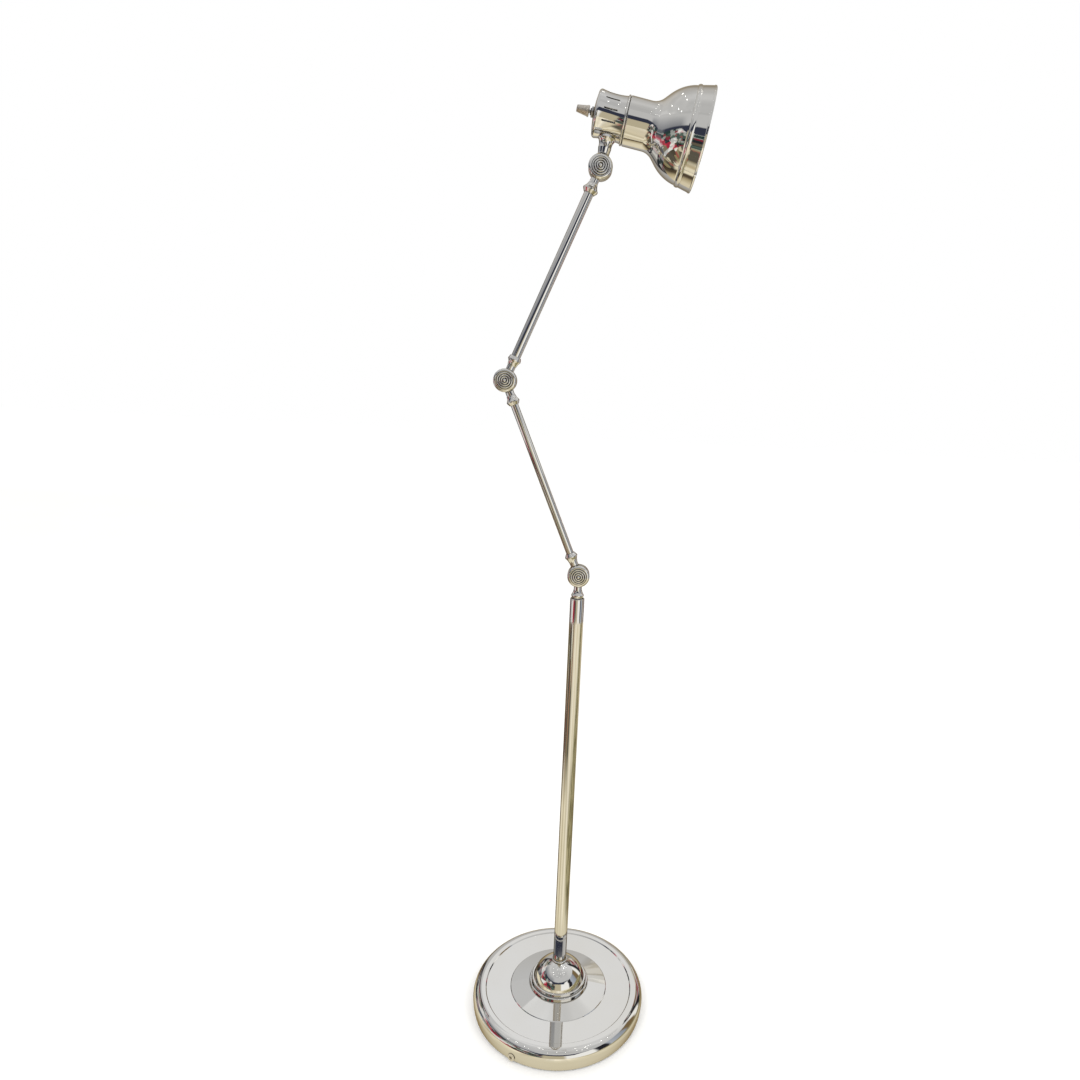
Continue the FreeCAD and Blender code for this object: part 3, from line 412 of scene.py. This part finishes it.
# The cards stand for the shop that the photograph's plating mirrors.
CREAM, TAN, BROWN = (0.86, 0.78, 0.58), (0.52, 0.43, 0.26), (0.09, 0.065, 0.04)
CARD_SIDE = 9.0
WALL_RADIUS, WALL_HEIGHT = 1.9, 2.7


def reflection_card(obj, material):
    """A card that only mirrors see, as the panels round a product table."""
    obj.data.materials.append(material)
    obj.visible_camera = False
    obj.visible_diffuse = False
    obj.visible_shadow = False
    obj.visible_transmission = False
    obj.visible_volume_scatter = False


def bearing_of(n, split):
    """Each point's bearing round the lamp, from 0 to 1, for the stops of by_bearing."""
    angle = n.math("ARCTAN2", split["X"], n.math("MULTIPLY", split["Y"], -1.0))
    return n.math("MULTIPLY_ADD", angle, 0.5 / math.pi, 0.5)


def by_bearing(stops):
    """Ramp stops from bearings in degrees: 0 is the camera's side, positive to the right."""
    return [(degrees / 360 + 0.5, tone) for degrees, tone in stops]


def by_height(stops):
    """Ramp stops from heights on the wall card, in metres."""
    return [(height / WALL_HEIGHT, tone) for height, tone in stops]


def step_up(n, value, edge, sharpness):
    """0 below an edge and 1 over it, with a slope this sharp between them."""
    return n.math("MULTIPLY", n.math("SUBTRACT", value, edge), sharpness, clamp=True)


def add_ceiling_card():
    """Light grey overhead and lighter towards the back, with rows of small bright lamps in
    front."""
    ceiling = level_square("card_ceiling", CARD_SIDE, WALL_HEIGHT)
    material, n = new_material("card_ceiling")
    place = n.object_place()
    depth = n.split(place)["Y"]
    cells = n.add("ShaderNodeTexVoronoi", Scale=2.6, Randomness=0.2, Vector=place)
    dots = n.grey_ramp(cells.outputs["Distance"], [(0.065, 1.0), (0.075, 0.0)])
    dots = n.math("MULTIPLY", dots, n.grey_ramp(depth, [(0.7, 1.0), (0.9, 0.0)]))
    along = n.math("MULTIPLY_ADD", depth, 0.16, n.noise(place, scale=0.9, detail=2.0))
    tone = n.grey_ramp(along, [(0.2, 0.50), (0.5, 0.60), (0.8, 0.80)])
    n.glow(n.blend(dots, tone, (8.0, 8.0, 7.7, 1.0)))
    reflection_card(ceiling, material)


def floor_fan(n, turn, place):
    """Cream with tan and brown lines that fan out from the lamp, broken into boards."""
    fan = n.ramp(turn, by_bearing([
        (-168, CREAM), (-150, TAN), (-138, BROWN), (-126, BROWN), (-118, CREAM), (-80, CREAM),
        (-66, TAN), (-52, CREAM), (-30, CREAM), (-24, (0.66, 0.58, 0.40)),
        (-8, (0.78, 0.70, 0.52)), (-3, (0.98, 0.91, 0.74)), (14, (0.90, 0.82, 0.63)),
        (26, (0.72, 0.64, 0.45)), (36, CREAM), (78, (0.86, 0.80, 0.64)), (96, TAN),
        (106, BROWN), (114, TAN), (128, CREAM), (170, CREAM)]))
    boards = n.noise(turn, scale=34.0, roughness=0.65, dimensions="1D")
    boards = n.grey_ramp(boards, [(0.32, 0.84), (0.5, 1.0), (0.7, 1.08)])
    clouds = n.grey_ramp(n.noise(place, scale=2.2), [(0.3, 0.92), (0.7, 1.08)])
    return n.blend(1.0, fan, n.blend(1.0, boards, clouds, "MULTIPLY"), "MULTIPLY")


def floor_goods(n, turn, reach):
    """Long strips of random colour that point at the lamp."""
    strips_round, strips_per_metre = 46.0, 1.6
    strips = n.add("ShaderNodeCombineXYZ", X=n.math("MULTIPLY", turn, strips_round),
                   Y=n.math("MULTIPLY", reach, strips_per_metre)).outputs[0]
    cells = n.add("ShaderNodeTexVoronoi", {"voronoi_dimensions": "2D"}, Scale=1.0, Vector=strips)
    pick = n.add("ShaderNodeSeparateColor", Color=cells.outputs["Color"]).outputs
    return n.ramp(pick[0], [
        (0.0, (0.02, 0.015, 0.01)), (0.3, (0.26, 0.22, 0.11)), (0.5, (0.03, 0.025, 0.02)),
        (0.62, (0.62, 0.56, 0.40)), (0.76, (0.30, 0.05, 0.04)), (0.84, (0.12, 0.10, 0.05)),
        (0.93, (0.86, 0.84, 0.76))], "CONSTANT")


def add_floor_card():
    """The floor as the plating sees it: plain cream close to the lamp, brown lines further out,
    olive under the head, and goods to the left."""
    floor = level_square("card_floor", CARD_SIDE, -0.0004)
    material, n = new_material("card_floor")
    place = n.object_place()
    split = n.split(place)
    turn = bearing_of(n, split)
    reach = reach_from_z(n, place)
    tone = floor_fan(n, turn, place)

    near = n.grey_ramp(reach, [(0.14, 1.0), (0.21, 0.0)])
    tone = n.blend(near, tone, (0.72, 0.65, 0.47, 1.0))

    ahead = n.grey_ramp(split["X"], [(0.10, 0.0), (0.24, 1.0)])
    beside = n.grey_ramp(n.math("ABSOLUTE", split["Y"]), [(0.35, 1.0), (0.7, 0.0)])
    under_head = n.math("MULTIPLY", n.math("MULTIPLY", ahead, beside),
                        n.math("SUBTRACT", 1.0, near))
    olive = n.ramp(n.noise(place, scale=9.0, detail=4.0, roughness=0.7), [
        (0.36, (0.05, 0.04, 0.02)), (0.5, (0.30, 0.26, 0.13)), (0.62, (0.52, 0.46, 0.28))])
    tone = n.blend(under_head, tone, olive)

    left = n.grey_ramp(turn, by_bearing([(-135, 0.0), (-125, 1.0), (-30, 1.0), (-20, 0.0)]))
    left = n.math("MULTIPLY", n.grey_ramp(reach, [(0.55, 0.0), (0.8, 0.9)]), left)
    n.glow(n.blend(left, tone, floor_goods(n, turn, reach)))
    reflection_card(floor, material)


def busy_patches(n, unrolled, scale):
    """Blocks of random colour, wider than they are high, as goods on shelves."""
    wide = n.vector("MULTIPLY", unrolled, (0.6, 1.0, 1.0))
    blocks = n.add("ShaderNodeTexVoronoi", {"distance": "CHEBYCHEV", "voronoi_dimensions": "2D"},
                   Scale=scale, Vector=wide)
    pick = n.add("ShaderNodeSeparateColor", Color=blocks.outputs["Color"]).outputs
    return n.ramp(pick[0], [
        (0.0, (0.02, 0.02, 0.025)), (0.22, (0.10, 0.15, 0.12)), (0.32, (0.62, 0.03, 0.07)),
        (0.44, (0.88, 0.87, 0.84)), (0.56, (0.03, 0.03, 0.04)), (0.72, (0.34, 0.28, 0.17)),
        (0.80, (0.02, 0.06, 0.05)), (0.88, (0.95, 0.94, 0.90))], "CONSTANT")


def wall_low(n, turn, split):
    """The wall's lower part: goods on shelves to the left and behind on the right, and pale and
    dark uprights elsewhere."""
    beige, black, white = (0.52, 0.46, 0.32), (0.02, 0.02, 0.025), (0.95, 0.94, 0.91)
    grey, steel, brown = (0.56, 0.56, 0.56), (0.30, 0.33, 0.38), (0.20, 0.14, 0.07)
    uprights = n.ramp(turn, by_bearing([
        (-180, grey), (-154, grey), (-150, black), (-122, black), (-118, white), (-104, steel),
        (-60, black), (-18, black), (-14, beige), (10, beige), (14, white), (46, white),
        (50, black), (62, black), (66, (0.45, 0.48, 0.54)), (88, steel), (92, brown),
        (106, brown), (110, white), (118, white), (122, black), (144, black), (148, beige),
        (164, white), (168, grey)]))
    stocked = n.grey_ramp(turn, by_bearing([
        (-150, 0.0), (-140, 0.7), (-96, 0.7), (-90, 0.95), (-16, 0.95), (-12, 0.0), (128, 0.0),
        (132, 0.6), (166, 0.6), (170, 0.0)]))
    unrolled = n.add("ShaderNodeCombineXYZ", Y=split["Z"],
                     X=n.math("MULTIPLY", turn, 2 * math.pi * WALL_RADIUS)).outputs[0]
    goods = n.blend(0.35, busy_patches(n, unrolled, scale=2.6),
                    busy_patches(n, unrolled, scale=7.0))
    return n.blend(stocked, uprights, goods)


def wall_high(n, turn, level):
    """The wall's upper part: light grey, palest behind the lamp, and shaded on the left."""
    upper = n.grey_ramp(turn, by_bearing([
        (-168, 0.80), (-162, 0.58), (-110, 0.60), (-60, 0.54), (0, 0.56), (60, 0.56),
        (110, 0.72), (160, 0.80)]))
    left = n.grey_ramp(turn, by_bearing([(-125, 0.0), (-105, 1.0), (-36, 1.0), (-20, 0.0)]))
    shaded = n.math("MULTIPLY", n.grey_ramp(level, by_height([(1.5, 0.75), (2.5, 0.0)])), left)
    return n.blend(shaded, upper, (0.10, 0.11, 0.14, 1.0))


def eye_line(n, turn, level):
    """1 on a line at eye level on the camera's side, which reaches lower straight ahead."""
    side_foot, front_foot = 1.36 / WALL_HEIGHT, 1.02 / WALL_HEIGHT
    foot = n.grey_ramp(turn, by_bearing([
        (-34, side_foot), (-22, front_foot), (22, front_foot), (34, side_foot)]))
    over = step_up(n, level, foot, sharpness=40.0)
    under = n.grey_ramp(level, by_height([(1.54, 1.0), (1.62, 0.0)]))
    side = n.grey_ramp(turn, by_bearing([(-100, 0.0), (-80, 1.0), (36, 1.0), (56, 0.0)]))
    return n.math("MULTIPLY", n.math("MULTIPLY", over, under), side)


def add_wall_card():
    """A round wall: shelves and uprights low down, light grey over them, and a dark line."""
    wall = round_wall("card_wall", WALL_RADIUS, WALL_HEIGHT)
    material, n = new_material("card_wall")
    split = n.split(n.object_place())
    turn = bearing_of(n, split)
    level = n.math("DIVIDE", split["Z"], WALL_HEIGHT)

    # The lower part ends at the shelves' height, but at that of the columns on both rear sides.
    shelf_top, column_top = 1.40 / WALL_HEIGHT, 2.3 / WALL_HEIGHT
    tops = n.grey_ramp(turn, by_bearing([
        (-156, shelf_top), (-148, column_top), (-124, column_top), (-116, shelf_top),
        (116, shelf_top), (124, column_top), (144, column_top), (152, shelf_top)]))
    above = step_up(n, level, tops, sharpness=60.0)
    tone = n.blend(above, wall_low(n, turn, split), wall_high(n, turn, level))
    n.glow(n.blend(eye_line(n, turn, level), tone, (0.035, 0.04, 0.065, 1.0)))
    reflection_card(wall, material)


add_camera()
dress_nodes()
add_floor()
add_world()
add_ceiling_card()
add_floor_card()
add_wall_card()
add_lamp("key", (-1.0, -1.3, 2.3), 8.0)
add_lamp("fill", (1.2, -1.0, 2.1), 5.0)
bpy.context.scene.view_settings.view_transform = "Standard"
